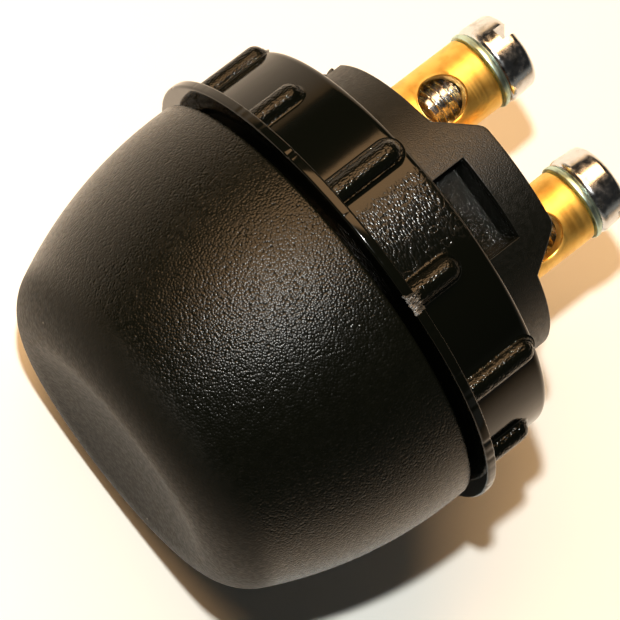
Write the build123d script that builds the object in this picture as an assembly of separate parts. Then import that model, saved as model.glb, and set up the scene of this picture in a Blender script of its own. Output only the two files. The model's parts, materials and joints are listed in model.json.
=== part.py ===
"""Panel pushbutton switch: a domed push cap in front of the panel, a ribbed nut behind it and two pillar
terminals at the back. Momentary: pressing the cap bridges the two fixed contacts.

Millimetres. Y is the push axis: the cap faces -Y and the terminals point to +Y. The origin is on that axis
in the plane of the panel seat, +Z runs through the upper key tongue, and the terminals stand at -X and +X.
"""
import os
from math import asin, atan2, cos, degrees, hypot, radians, sin, sqrt

from build123d import *

# Push cap
cap_edge_r = 18.9
cap_gap = 0.75
cap_height = 19.8
cap_wall = 1.7
cap_crown_r = 35.0
cap_crown_start = 1.15
cap_shoulder_r = 5.2
cap_dish_angle = 14.0
cap_edge_round = 0.3
cap_boss_r = 5.5
spring_seat_width = 2.0

# Panel nut
nut_wall = 4.3
nut_lip_width = 1.9
nut_lip_t = 0.85
nut_lip_round = 0.2
nut_length = 7.7
nut_rear_round = 0.6
nut_entry_chamfer = 0.6
rib_pairs = 6
rib_width = 2.1
rib_height = 1.0
rib_round = 0.95
rib_root = 0.6
long_rib_margin = 0.35
short_rib_margin = 2.3
nut_turn = 4.4
thread_clearance = 0.1

# Base moulding
barrel_r = 13.7
barrel_length = 11.85
recess_wall = 3.3
recess_depth = 3.05
ledge_width = 0.5
bezel_t = 2.0
bezel_clearance = 0.4
bush_wall = 2.15
bush_front = 8.0
bush_rear = 2.0
tongue_height = 2.98
tongue_top_width = 9.2
tongue_foot_width = 14.4
tongue_round = 0.6
pocket_width = 7.35
pocket_front = 1.0
pocket_web = 0.6
pocket_draft = 8.0

# Plunger and moving contact
plunger_r = 5.0
plunger_front = 9.5
guide_clearance = 0.05
stop_clearance = 0.05
stop_width = 1.5
stop_t = 1.15
spigot_r = 2.2
bridge_clearance = 0.1
bridge_t = 0.8
bridge_width = 4.0
bridge_hub_wall = 1.0
bridge_play = 0.05
keeper_r = 3.2
keeper_t = 0.5
tip_r = 1.5
tip_t = 0.7
tip_margin = 0.4
tip_spacing = 13.0
contact_gap = 0.45

# Screw that ties the cap to the plunger
link_screw_r = 1.0
link_screw_grip = 4.5
link_head_r = 1.9
link_head_t = 1.3
link_slot_width = 0.5
link_slot_depth = 0.6
link_hole_clearance = 0.1
pilot_clearance = 0.03
pilot_extra = 0.6

# Springs
return_wire_r = 0.45
return_coil_r = 8.6
return_turns = 5.5
contact_wire_r = 0.2
contact_coil_r = 2.8
contact_turns = 2.5

# Terminals
plate_clearance = 0.05
plate_t = 2.0
terminal_spacing = 12.9
post_r = 3.25
post_length = 10.25
post_chamfer = 0.3
post_margin = 0.3
wire_hole_r = 1.95
wire_hole_depth = 4.65
stud_r = 1.5
stud_clearance = 0.05
stud_over = 0.4
hex_flats = 5.5
hex_t = 2.4
strap_t = 0.8
strap_eye_r = 2.4
strap_width = 3.2
screw_r = 2.0
screw_length = 6.45
screw_clearance = 0.05
screw_head_r = 3.5
screw_head_t = 2.9
screw_head_round = 0.5
screw_slot_width = 1.2
screw_slot_depth = 1.2
screw_tip_chamfer = 0.5
tapped_extra = 1.7
washer_r = 3.45
washer_t = 0.5
washer_clearance = 0.1
left_slot_turn = 58.0
right_slot_turn = -32.0
left_hole_turn = -8.0
right_hole_turn = 0.0

# Places along the push axis, from the panel seat
cap_edge_y = -cap_gap
cap_crest_y = cap_edge_y - cap_height
cap_boss_y = -plunger_front
recess_floor_y = barrel_length - recess_depth
plate_rear_y = recess_floor_y + plate_t
strap_front_y = recess_floor_y - strap_t
hex_front_y = strap_front_y - hex_t
fixed_tip_y = strap_front_y - tip_t
bridge_tip_y = fixed_tip_y - contact_gap
bridge_rear_y = bridge_tip_y - tip_t
bridge_front_y = bridge_rear_y - bridge_t
keeper_front_y = bridge_rear_y + bridge_play
keeper_rear_y = keeper_front_y + keeper_t
stop_front_y = bush_rear + stop_clearance
stop_rear_y = stop_front_y + stop_t
post_end_y = plate_rear_y + post_length
head_seat_y = post_end_y + washer_t
head_end_y = head_seat_y + screw_head_t

# Radii and offsets that follow from their neighbours
nut_bore_r = barrel_r + thread_clearance
nut_barrel_r = nut_bore_r + nut_wall
nut_lip_r = nut_barrel_r + nut_lip_width
bezel_r = cap_edge_r - cap_wall - bezel_clearance
bush_bore_r = plunger_r + guide_clearance
bush_r = bush_bore_r + bush_wall
stop_r = bush_bore_r + stop_width
link_hole_r = link_screw_r + link_hole_clearance
bridge_hole_r = spigot_r + bridge_clearance
stud_hole_r = stud_r + stud_clearance
pad_r = tip_r + tip_margin
post_x = terminal_spacing / 2
recess_r = max(barrel_r - recess_wall, post_x + post_r + post_margin)
barrel_bore_r = recess_r - ledge_width
pocket_depth = barrel_r - recess_r - pocket_web
tip_z = tip_spacing / 2


def across(y, x=0.0, z=0.0, turn=0.0):
    """Plane square to the push axis, its normal to the back and its own x turned about that axis."""
    return Plane((x, y, z), x_dir=(cos(radians(turn)), 0, -sin(radians(turn))), z_dir=(0, 1, 0))


def tube(outer_r, inner_r, front, rear, x=0.0, z=0.0):
    """Round bar or tube along the push axis."""
    section = Circle(outer_r)
    if inner_r > 0:
        section -= Circle(inner_r)
    return extrude(across(front, x, z) * section, amount=rear - front)


def end_rims(solid, y):
    """Round edges of a solid that lie in the plane at y."""
    rims = solid.edges().filter_by(GeomType.CIRCLE)
    return rims.filter_by(lambda rim: abs(rim.arc_center.Y - y) < 1e-6 and abs(rim.bounding_box().size.Y) < 1e-6)


def coil(wire_r, coil_r, front, rear, turns):
    """Compression spring whose wire touches the planes front and rear."""
    rise = rear - front - 2 * wire_r
    path = Helix(rise / turns, rise, coil_r, center=(0, front + wire_r, 0), direction=(0, 1, 0))
    return sweep(Plane(path @ 0, z_dir=path % 0) * Circle(wire_r), path=path, is_frenet=True)


def cap_outline(inset):
    """Dish, rim and side of the cap as three tangent arcs, moved inwards by inset.

    Gives the arcs from the axis to the rear edge, the radius at that edge and the dish's depth on the axis.
    """
    side_x = cap_edge_r - sqrt(cap_crown_r**2 - cap_crown_start**2)
    side_y = cap_edge_y - cap_crown_start
    rim_y = cap_crest_y + cap_shoulder_r
    rim_x = side_x + sqrt((cap_crown_r - cap_shoulder_r) ** 2 - (rim_y - side_y) ** 2)
    dish_r = rim_x / sin(radians(cap_dish_angle)) - cap_shoulder_r
    dish_y = rim_y - (dish_r + cap_shoulder_r) * cos(radians(cap_dish_angle))
    lean = degrees(asin((side_y - rim_y) / (cap_crown_r - cap_shoulder_r)))
    edge = degrees(asin(cap_crown_start / (cap_crown_r - inset)))
    edge_r = side_x + sqrt((cap_crown_r - inset) ** 2 - cap_crown_start**2)
    dish = CenterArc((0, dish_y), dish_r + inset, 90, -cap_dish_angle)
    rim = CenterArc((rim_x, rim_y), cap_shoulder_r - inset, 270 - cap_dish_angle, 90 + cap_dish_angle - lean)
    side = CenterArc((side_x, side_y), cap_crown_r - inset, -lean, lean + edge)
    return [dish, rim, side], edge_r, dish_y + dish_r + inset


def push_cap():
    """Hollow dome with a dished end, a boss for the plunger and a ring that seats the return spring."""
    outside, outer_edge_r, dish_y = cap_outline(0.0)
    inside, inner_edge_r, ceiling_y = cap_outline(cap_wall)
    foot = Line((outer_edge_r, cap_edge_y), (inner_edge_r, cap_edge_y))
    spine = Line((0, ceiling_y), (0, dish_y))
    shell = revolve(make_face(outside + [foot] + inside + [spine]), axis=Axis.Y)
    shell = fillet(end_rims(shell, cap_edge_y), cap_edge_round)
    half_seat = spring_seat_width / 2
    seat = tube(return_coil_r + half_seat, return_coil_r - half_seat, dish_y, ceiling_y)
    boss = tube(cap_boss_r, 0, dish_y + cap_wall / 2, cap_boss_y)
    pilot = tube(link_screw_r + pilot_clearance, 0, cap_boss_y - link_screw_grip - pilot_extra, cap_boss_y)
    return shell + seat + boss - pilot, ceiling_y


def panel_nut():
    """Flanged ring with grip ribs that are long and short by turns; its lip bears on the panel."""
    ring = tube(nut_lip_r, nut_bore_r, 0, nut_lip_t) + tube(nut_barrel_r, nut_bore_r, nut_lip_t, nut_length)
    rear_rims = end_rims(ring, nut_length).sort_by(SortBy.RADIUS)
    ring = fillet(rear_rims[-1], nut_rear_round)
    ring = chamfer(end_rims(ring, nut_length).sort_by(SortBy.RADIUS)[0], nut_entry_chamfer)
    lip_rims = [end_rims(ring, y).sort_by(SortBy.RADIUS)[-1] for y in (0, nut_lip_t)]
    ring = fillet(lip_rims, nut_lip_round)
    margins = [short_rib_margin, long_rib_margin]
    step = 180 / rib_pairs
    ribs = [
        Rot(0, nut_turn + step * index, 0) * grip_rib(nut_length - margins[index % 2])
        for index in range(2 * rib_pairs)
    ]
    return ring + ribs


def grip_rib(rear):
    """One grip rib on the +Z side of the nut, from the lip to a round end at rear."""
    end_y = rear - rib_width / 2
    bar = Pos(0, (nut_lip_t + end_y) / 2) * Rectangle(rib_width, end_y - nut_lip_t)
    plan = bar + Pos(0, end_y) * Circle(rib_width / 2)
    rib = extrude(Plane((0, 0, nut_barrel_r - rib_root)) * plan, amount=rib_root + rib_height)
    crest = rib.faces().sort_by(Axis.Z)[-1]
    lip_edge = crest.edges().sort_by(Axis.Y)[0]
    return fillet([edge for edge in crest.edges() if edge != lip_edge], rib_round)


def base_moulding():
    """Threaded barrel with its bezel, plunger bush, two key tongues and the pockets below them."""
    body = tube(bezel_r, bush_bore_r, -bezel_t, 0)
    body += tube(bush_r, bush_bore_r, -bush_front, bush_rear)
    body += tube(barrel_r, barrel_bore_r, 0, recess_floor_y)
    body += tube(barrel_r, recess_r, recess_floor_y, barrel_length)
    top_y = barrel_length + tongue_height
    half_top = tongue_top_width / 2
    half_foot = tongue_foot_width / 2
    tongue = Polygon(
        (-half_foot, recess_floor_y),
        (half_foot, recess_floor_y),
        (half_foot, barrel_length),
        (half_top, top_y),
        (-half_top, top_y),
        (-half_foot, barrel_length),
        align=None,
    )
    tongue = fillet(tongue.vertices().group_by(Axis.Y)[-1], tongue_round)
    wall = tube(barrel_r, recess_r, recess_floor_y, top_y)
    body += extrude(tongue, amount=barrel_r, both=True) & wall
    pocket_length = barrel_length - pocket_front
    middle_y = pocket_front + pocket_length / 2
    for side in (-1, 1):
        mouth = Plane((0, middle_y, side * barrel_r), x_dir=(1, 0, 0), z_dir=(0, 0, -side))
        body -= extrude(mouth * Rectangle(pocket_width, pocket_length), amount=pocket_depth, taper=pocket_draft)
    return body


def plunger():
    """Stem that slides in the bush, its stop shoulder and the spigot that carries the moving contact."""
    stem = tube(plunger_r, link_hole_r, -plunger_front, stop_front_y)
    stop = tube(stop_r, link_hole_r, stop_front_y, stop_rear_y)
    spigot = tube(spigot_r, link_hole_r, stop_rear_y, keeper_front_y)
    return stem + stop + spigot


def slotted(head, end_y, width, depth, reach, x=0.0, turn=0.0):
    """Screw with a driver slot cut into the end of its head."""
    slot = Rectangle(2 * reach, width)
    return head - extrude(across(end_y, x, 0, turn) * slot, amount=-depth)


def link_screw():
    """Slotted screw through the plunger into the cap's boss; its head holds the keeper washer."""
    end_y = keeper_rear_y + link_head_t
    screw = tube(link_screw_r, 0, cap_boss_y - link_screw_grip, keeper_rear_y)
    screw += tube(link_head_r, 0, keeper_rear_y, end_y)
    return slotted(screw, end_y, link_slot_width, link_slot_depth, link_head_r)


def contact_bridge():
    """Brass bar across the plunger's spigot, with a round hub and rounded ends."""
    bar = SlotCenterToCenter(tip_spacing, bridge_width, rotation=90)
    section = bar + Circle(bridge_hole_r + bridge_hub_wall) - Circle(bridge_hole_r)
    return extrude(across(bridge_front_y) * section, amount=bridge_t)


def fixed_contact(side):
    """Flat brass strap from a terminal's stud to the pad under its contact tip."""
    pad_y = -side * tip_z
    eye_x = side * post_x
    slant = degrees(atan2(pad_y, -eye_x))
    bar = Pos(eye_x / 2, pad_y / 2) * Rot(0, 0, slant) * Rectangle(hypot(eye_x, pad_y), strap_width)
    section = bar + Pos(eye_x, 0) * Circle(strap_eye_r) + Pos(0, pad_y) * Circle(pad_r)
    section -= Pos(eye_x, 0) * Circle(stud_hole_r)
    return extrude(across(strap_front_y) * section, amount=strap_t)


def terminal_plate():
    """Insulating disc on the ledge of the barrel, with a hole for each stud."""
    plate = tube(recess_r - plate_clearance, 0, recess_floor_y, plate_rear_y)
    for x in (-post_x, post_x):
        plate -= tube(stud_hole_r, 0, recess_floor_y, plate_rear_y, x)
    return plate


def terminal_post(x, hole_turn):
    """Turned brass pillar with a stud at its foot, a wire hole across it and a tapped hole in its end."""
    post = tube(post_r, 0, plate_rear_y, post_end_y, x)
    post = chamfer(end_rims(post, post_end_y), post_chamfer)
    post += tube(stud_r, 0, hex_front_y - stud_over, plate_rear_y, x)
    post -= tube(screw_r + screw_clearance, 0, head_seat_y - screw_length - tapped_extra, post_end_y, x)
    facing = (sin(radians(hole_turn)), 0, cos(radians(hole_turn)))
    hole = Plane((x, post_end_y - wire_hole_depth, 0), x_dir=(0, 1, 0), z_dir=facing) * Circle(wire_hole_r)
    return post - extrude(hole, amount=post_r, both=True)


def terminal_screw(x, slot_turn):
    """Slotted cheese-head screw whose tip reaches into the wire hole."""
    tip_y = head_seat_y - screw_length
    shank = tube(screw_r, 0, tip_y, head_seat_y, x)
    shank = chamfer(end_rims(shank, tip_y), screw_tip_chamfer)
    head = tube(screw_head_r, 0, head_seat_y, head_end_y, x)
    head = fillet(end_rims(head, head_end_y), screw_head_round)
    return slotted(shank + head, head_end_y, screw_slot_width, screw_slot_depth, screw_head_r, x, slot_turn)


def hex_nut(x):
    """Hexagon nut on a terminal's stud, one flat towards the plunger."""
    section = RegularPolygon(hex_flats / 2, 6, major_radius=False, rotation=30) - Circle(stud_hole_r)
    return extrude(across(hex_front_y, x) * section, amount=hex_t)


def pieces():
    """Every piece by its name."""
    cap, ceiling_y = push_cap()
    made = {
        "push_cap": cap,
        "panel_nut": panel_nut(),
        "base_moulding": base_moulding(),
        "plunger": plunger(),
        "link_screw": link_screw(),
        "bridge_keeper": tube(keeper_r, link_hole_r, keeper_front_y, keeper_rear_y),
        "contact_bridge": contact_bridge(),
        "return_spring": coil(return_wire_r, return_coil_r, ceiling_y, -bezel_t, return_turns),
        "contact_spring": coil(contact_wire_r, contact_coil_r, stop_rear_y, bridge_front_y, contact_turns),
        "terminal_plate": terminal_plate(),
    }
    for name, z in (("upper", tip_z), ("lower", -tip_z)):
        made[f"bridge_tip_{name}"] = tube(tip_r, 0, bridge_rear_y, bridge_tip_y, 0, z)
        made[f"fixed_tip_{name}"] = tube(tip_r, 0, fixed_tip_y, strap_front_y, 0, z)
    for name, side, slot_turn, hole_turn in (
        ("left", -1, left_slot_turn, left_hole_turn),
        ("right", 1, right_slot_turn, right_hole_turn),
    ):
        x = side * post_x
        made[f"terminal_post_{name}"] = terminal_post(x, hole_turn)
        made[f"terminal_screw_{name}"] = terminal_screw(x, slot_turn)
        made[f"terminal_washer_{name}"] = tube(washer_r, screw_r + washer_clearance, post_end_y, head_seat_y, x)
        made[f"post_nut_{name}"] = hex_nut(x)
        made[f"fixed_contact_{name}"] = fixed_contact(side)
    return made


if __name__ == "__main__":
    os.makedirs("parts", exist_ok=True)
    for name, shape in pieces().items():
        export_step(shape, f"parts/{name}.step")
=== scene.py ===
"""Looks of the panel pushbutton switch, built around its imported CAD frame.

Sizes are in millimetres until a mesh is written, and angles that are fields are in degrees unless their names
say rad. Y is the push axis, the cap faces -Y and the terminals +Y. Angles about the push axis start at +Z and
grow towards +X.
"""

import json
import logging
from abc import ABC, abstractmethod
from dataclasses import dataclass
from enum import Enum

import bmesh
import bpy
import numpy as np
from mathutils import Matrix, Vector


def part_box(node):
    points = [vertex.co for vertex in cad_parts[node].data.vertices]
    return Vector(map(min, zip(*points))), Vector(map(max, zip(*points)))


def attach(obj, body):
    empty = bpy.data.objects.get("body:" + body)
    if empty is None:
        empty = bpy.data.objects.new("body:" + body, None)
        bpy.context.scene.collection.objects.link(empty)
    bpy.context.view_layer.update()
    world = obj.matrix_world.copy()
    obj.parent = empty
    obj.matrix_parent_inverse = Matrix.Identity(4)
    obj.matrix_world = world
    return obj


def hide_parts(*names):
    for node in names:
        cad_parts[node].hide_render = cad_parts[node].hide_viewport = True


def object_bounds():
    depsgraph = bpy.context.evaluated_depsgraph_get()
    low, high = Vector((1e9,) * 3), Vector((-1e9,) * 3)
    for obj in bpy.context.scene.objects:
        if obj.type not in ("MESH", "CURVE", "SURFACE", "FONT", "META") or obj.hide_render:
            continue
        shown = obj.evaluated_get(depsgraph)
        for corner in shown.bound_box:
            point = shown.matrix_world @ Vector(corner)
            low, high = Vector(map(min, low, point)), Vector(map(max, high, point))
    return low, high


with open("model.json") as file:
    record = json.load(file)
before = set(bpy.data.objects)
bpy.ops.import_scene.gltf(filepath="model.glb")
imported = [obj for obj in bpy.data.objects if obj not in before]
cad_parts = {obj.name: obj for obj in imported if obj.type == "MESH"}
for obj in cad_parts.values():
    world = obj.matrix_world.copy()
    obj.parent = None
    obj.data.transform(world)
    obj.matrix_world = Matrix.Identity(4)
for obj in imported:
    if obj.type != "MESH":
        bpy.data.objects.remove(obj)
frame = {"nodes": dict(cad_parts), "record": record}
CAD_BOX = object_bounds()

MM = 0.001
WELD_M = 2e-7
SLIVER_M = 1e-7
NEAR = 1e-6
NOISE_RANGE = (0.3, 0.7)
Array = np.ndarray
Pair = tuple[float, float]
Colour = tuple[float, float, float]
Place = tuple[float, float, float]
Socket = bpy.types.NodeSocket
Material = bpy.types.Material
log = logging.getLogger("switch")


# Shapes

def arc(centre: Pair, radius: float, start: float, end: float, count: int) -> Array:
    """Points of a circular arc.

    Args:
        centre: centre in the plane of the section.
        radius: radius of the arc.
        start: first angle in degrees.
        end: last angle in degrees.
        count: number of points.

    Returns:
        Array of count points in the plane.
    """
    turn = np.radians(np.linspace(start, end, count))
    return np.stack([centre[0] + radius * np.cos(turn), centre[1] + radius * np.sin(turn)], axis=1)


def run(start: Pair, end: Pair, count: int) -> Array:
    """Evenly spaced points of a straight line."""
    return np.linspace(start, end, count)


def full_circle(count: int) -> Array:
    """Evenly spaced angles of one turn in radians, without its end."""
    return np.linspace(0.0, 2.0 * np.pi, count, endpoint=False)


def around(radius: Array, turn: Array, along: Array, x: float = 0.0) -> Array:
    """Places of points given by radius, angle and distance along an axis parallel to the push axis.

    Args:
        radius: distances from the axis.
        turn: angles about the axis in radians.
        along: places along the push axis.
        x: sideways place of the axis.

    Returns:
        Array of the three inputs' common shape with a last axis of three.
    """
    radius, turn, along = np.broadcast_arrays(radius, turn, along)
    return np.stack([x + radius * np.sin(turn), along, radius * np.cos(turn)], axis=-1)


def smooth_step(low: float, high: float, value: Array) -> Array:
    """Blend from 0 at low to 1 at high with level ends."""
    t = np.clip((value - low) / (high - low), 0.0, 1.0)
    return t * t * (3.0 - 2.0 * t)


@dataclass
class Surface:
    """Mesh of quads in millimetres."""

    points: Array
    quads: Array

    @classmethod
    def grid(cls, points: Array, close_rows: bool = False, close_columns: bool = False) -> "Surface":
        """Surface over a two-parameter grid of points.

        Args:
            points: array of rows by columns by three.
            close_rows: join the last row to the first.
            close_columns: join the last column to the first.

        Returns:
            The surface.
        """
        index = np.arange(points.shape[0] * points.shape[1]).reshape(points.shape[:2])
        if close_rows:
            index = np.vstack([index, index[:1]])
        if close_columns:
            index = np.hstack([index, index[:, :1]])
        corners = [index[:-1, :-1], index[:-1, 1:], index[1:, 1:], index[1:, :-1]]
        return cls(points.reshape(-1, 3), np.stack(corners, axis=-1).reshape(-1, 4))

    @classmethod
    def revolved(cls, section: Array, columns: int, x: float = 0.0, closed: bool = False) -> "Surface":
        """Section of radius and height turned about an axis parallel to the push axis.

        Args:
            section: points of radius and height.
            columns: number of steps round the axis.
            x: sideways place of the axis.
            closed: join the section's end to its start.

        Returns:
            The surface.
        """
        points = around(section[:, :1], full_circle(columns), section[:, 1:], x)
        return cls.grid(points, close_rows=closed, close_columns=True)

    def __add__(self, other: "Surface") -> "Surface":
        """Both surfaces as one."""
        quads = np.vstack([self.quads, other.quads + len(self.points)])
        return Surface(np.vstack([self.points, other.points]), quads)


@dataclass(frozen=True)
class Extent:
    """Box of a CAD node in millimetres."""

    low: Array
    high: Array

    @classmethod
    def of(cls, node: str) -> "Extent":
        """Box of the named CAD node."""
        low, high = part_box(node)
        return cls(np.array(low) / MM, np.array(high) / MM)

    @property
    def middle_x(self) -> float:
        """Sideways place of the box's middle."""
        return float((self.low[0] + self.high[0]) / 2.0)

    @property
    def radius(self) -> float:
        """Half of the box's width."""
        return (self.high[0] - self.low[0]) / 2


def add_piece(
    name: str,
    surface: Surface,
    material: Material,
    body: str,
    node: str,
    sharp: float = 32.0,
) -> None:
    """Turns a surface into a finished piece that rides on a CAD body and stands for a CAD node.

    Args:
        name: name of the object.
        surface: its surface in millimetres.
        material: its material.
        body: CAD body that it moves with.
        node: CAD node that it replaces.
        sharp: edges with a larger angle than this, in degrees, stay sharp.
    """
    mesh = bpy.data.meshes.new(name)
    mesh.vertices.add(len(surface.points))
    mesh.vertices.foreach_set("co", (surface.points * MM).astype(np.float32).ravel())
    mesh.loops.add(surface.quads.size)
    mesh.loops.foreach_set("vertex_index", surface.quads.astype(np.int32).ravel())
    mesh.polygons.add(len(surface.quads))
    mesh.polygons.foreach_set("loop_start", np.arange(0, surface.quads.size, 4, dtype=np.int32))
    mesh.update(calc_edges=True)
    mesh.validate()
    work = bmesh.new()
    work.from_mesh(mesh)
    bmesh.ops.remove_doubles(work, verts=work.verts, dist=WELD_M)
    bmesh.ops.dissolve_degenerate(work, edges=work.edges, dist=SLIVER_M)
    bmesh.ops.recalc_face_normals(work, faces=work.faces)
    work.to_mesh(mesh)
    work.free()
    mesh.shade_smooth()
    mesh.set_sharp_from_angle(angle=np.radians(sharp))
    mesh.materials.append(material)
    piece = bpy.data.objects.new(name, mesh)
    bpy.context.scene.collection.objects.link(piece)
    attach(piece, body)
    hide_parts(node)
    log.info("%s: %d faces", name, len(mesh.polygons))


# Finishes

class Graph:
    """Node tree of one material or of the world, with short calls for the nodes that are shared."""

    def __init__(self, owner: Material | bpy.types.World, shader: str, place: str) -> None:
        """Starts from the tree's own shader.

        Args:
            owner: material or world that holds the tree.
            shader: name of its shader node.
            place: coordinates that its patterns read.
        """
        owner.use_nodes = True
        self.tree = owner.node_tree
        self.shader = self.tree.nodes[shader]
        self.place = self.add("ShaderNodeTexCoord").outputs[place]

    def add(self, kind: str, inputs: dict | None = None, **settings: object) -> bpy.types.Node:
        """Adds a node.

        Args:
            kind: node type.
            inputs: values or sockets by input name or number.
            settings: properties of the node.

        Returns:
            The node.
        """
        node = self.tree.nodes.new(kind)
        for key, value in settings.items():
            setattr(node, key, value)
        for key, value in (inputs or {}).items():
            self.feed(node.inputs[key], value)
        return node

    def feed(self, entry: Socket, value: object) -> None:
        """Links a node's input to a socket, or sets it to a constant.

        Args:
            entry: the input.
            value: socket, number, colour or vector.
        """
        if isinstance(value, Socket):
            self.tree.links.new(value, entry)
        elif entry.type == "RGBA":
            entry.default_value = (*value, 1.0)
        else:
            entry.default_value = value

    def shade(self, **inputs: object) -> None:
        """Sets inputs of the shader, whose names are written with underscores."""
        for key, value in inputs.items():
            self.feed(self.shader.inputs[key.replace("_", " ")], value)

    def math(self, operation: str, first: object, second: object = 0.0) -> Socket:
        """Result of an operation on two numbers."""
        return self.add("ShaderNodeMath", {0: first, 1: second}, operation=operation).outputs[0]

    def remap(self, value: object, low: float, high: float, first: float = 0.0, last: float = 1.0) -> Socket:
        """Number moved from one range to another, held at the ends."""
        inputs = {"Value": value, "From Min": low, "From Max": high, "To Min": first, "To Max": last}
        return self.add("ShaderNodeMapRange", inputs, interpolation_type="SMOOTHSTEP").outputs["Result"]

    def uneven(self, field: Socket, middle: float, smoother: float, rougher: float) -> Socket:
        """Roughness that follows a random field, from less than the middle to more than it."""
        return self.remap(field, *NOISE_RANGE, middle - smoother, middle + rougher)

    def scaled(self, x: float, y: float, z: float) -> Socket:
        """Place in the object with each axis multiplied."""
        inputs = {0: self.place, 1: (x, y, z)}
        return self.add("ShaderNodeVectorMath", inputs, operation="MULTIPLY").outputs[0]

    def noise(
        self, scale: float, detail: float = 2.0, distortion: float = 0.0, place: Socket | None = None
    ) -> Socket:
        """Soft random field, its scale in waves per metre."""
        inputs = {"Vector": place or self.place, "Scale": scale, "Detail": detail, "Distortion": distortion}
        return self.add("ShaderNodeTexNoise", inputs).outputs[0]

    def cells(self, scale: float, place: Socket | None = None) -> Socket:
        """Distance from the middle of random cells, their number per metre given by scale."""
        inputs = {"Vector": place or self.place, "Scale": scale}
        return self.add("ShaderNodeTexVoronoi", inputs, feature="F1").outputs["Distance"]

    def mix(self, share: object, first: object, second: object) -> Socket:
        """Blend of two colours."""
        inputs = {0: share, 6: first, 7: second}
        return self.add("ShaderNodeMix", inputs, data_type="RGBA").outputs[2]

    def bump(
        self, height: object, depth: float, strength: object = 1.0, under: Socket | None = None
    ) -> Socket:
        """Normal bent by a height field.

        Args:
            height: field from 0 to 1.
            depth: depth of the relief in millimetres.
            strength: share of the effect, a number or a field.
            under: normal that is bent, if not the surface's own.

        Returns:
            The normal.
        """
        node = self.add("ShaderNodeBump", {"Height": height, "Distance": depth * MM, "Strength": strength})
        if under is not None:
            self.feed(node.inputs["Normal"], under)
        return node.outputs["Normal"]

    def pebbles(
        self,
        scale: float,
        slope: float,
        strength: object = 1.0,
        under: Socket | None = None,
        stretch: float = 1.0,
    ) -> Socket:
        """Normal bent by small domes that meet in valleys.

        The height falls with the square of the distance from the middle of each cell, so that all slopes up
        to the steepest are equally common.

        Args:
            scale: number of domes per metre.
            slope: rise over run half a cell away from a dome's middle.
            strength: share of the effect, a number or a field.
            under: normal that is bent, if not the surface's own.
            stretch: length of the domes round the axis over their length along it.

        Returns:
            The normal.
        """
        off = self.cells(1.0, self.scaled(scale / stretch, scale, scale / stretch))
        height = self.math("SUBTRACT", 1.0, self.math("MULTIPLY", off, off))
        return self.bump(height, slope / (scale * MM), strength, under)

    def radius(self) -> Socket:
        """Distance from the push axis in metres."""
        flat = self.scaled(1.0, 0.0, 1.0)
        return self.add("ShaderNodeVectorMath", {0: flat}, operation="LENGTH").outputs["Value"]

    def along(self) -> Socket:
        """Place along the push axis in metres."""
        return self.add("ShaderNodeSeparateXYZ", {0: self.place}).outputs["Y"]

    def turn(self) -> Socket:
        """Angle about the push axis in radians, from +Z towards +X."""
        parts = self.add("ShaderNodeSeparateXYZ", {0: self.place})
        return self.math("ARCTAN2", parts.outputs["X"], parts.outputs["Z"])


class Finish(ABC):
    """Look of one material. Its grains are in waves or cells per metre, and its reliefs in millimetres."""

    def build(self, name: str) -> Material:
        """Makes the material.

        Args:
            name: name of the material.

        Returns:
            The material.
        """
        material = bpy.data.materials.new(name)
        self.dress(Graph(material, "Principled BSDF", "Object"))
        return material

    @abstractmethod
    def dress(self, g: Graph) -> None:
        """Adds the finish's nodes to the tree of its material."""


@dataclass(frozen=True)
class PebbledPlastic(Finish):
    """Black plastic with a fine moulded pebble grain and specks of dust, as on the cap and the base.

    In front of worn_y, where a finger rests on the cap, the grain is worn down and the surface is dull.
    Inside coarse_r, which is where the base has its pockets, the grain is steeper and shinier.
    """

    dark: Colour = (0.0014, 0.0018, 0.0011)
    pale: Colour = (0.0026, 0.0031, 0.0020)
    dust: Colour = (0.16, 0.15, 0.13)
    mottle_grain: float = 900.0
    roughness: float = 0.26
    smoother: float = 0.05
    rougher: float = 0.06
    rough_grain: float = 2600.0
    refraction: float = 1.258
    grain: float = 5300.0
    slope: float = 0.19
    worn_y: float = -18.8
    worn_fade: float = 2.5
    worn_grain: float = 0.35
    worn_roughness: float = 0.29
    coarse_r: float = 0.0
    coarse_fade: float = 0.1
    coarse_grain: float = 1.0
    coarse_roughness: float = 0.0
    speck_grain: float = 430.0
    speck_edge: Pair = (0.035, 0.055)
    dust_grain: float = 160.0
    dust_limit: float = 0.57
    dust_fade: float = 0.04

    def dress(self, g: Graph) -> None:
        """Adds the finish's nodes to the tree of its material.

        Args:
            g: the tree.
        """
        specks = g.remap(g.cells(self.speck_grain), *self.speck_edge, 1.0, 0.0)
        rare = g.remap(g.noise(self.dust_grain, 1.0), self.dust_limit, self.dust_limit + self.dust_fade)
        tone = g.mix(g.noise(self.mottle_grain, 3.0), self.dark, self.pale)
        colour = g.mix(g.math("MULTIPLY", specks, rare), tone, self.dust)
        worn = g.remap(g.along(), self.worn_y * MM, (self.worn_y + self.worn_fade) * MM, 1.0, 0.0)
        inside = g.remap(g.radius(), (self.coarse_r - self.coarse_fade) * MM, self.coarse_r * MM, 1.0, 0.0)
        rough = g.uneven(g.noise(self.rough_grain), self.roughness, self.smoother, self.rougher)
        rough = g.math("ADD", rough, g.math("MULTIPLY", worn, self.worn_roughness))
        rough = g.math("ADD", rough, g.math("MULTIPLY", inside, self.coarse_roughness))
        strength = g.math("SUBTRACT", 1.0, g.math("MULTIPLY", worn, 1.0 - self.worn_grain))
        strength = g.math("ADD", strength, g.math("MULTIPLY", inside, self.coarse_grain - 1.0))
        normal = g.pebbles(self.grain, self.slope, strength)
        g.shade(Base_Color=colour, Roughness=rough, IOR=self.refraction, Normal=normal)


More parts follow.
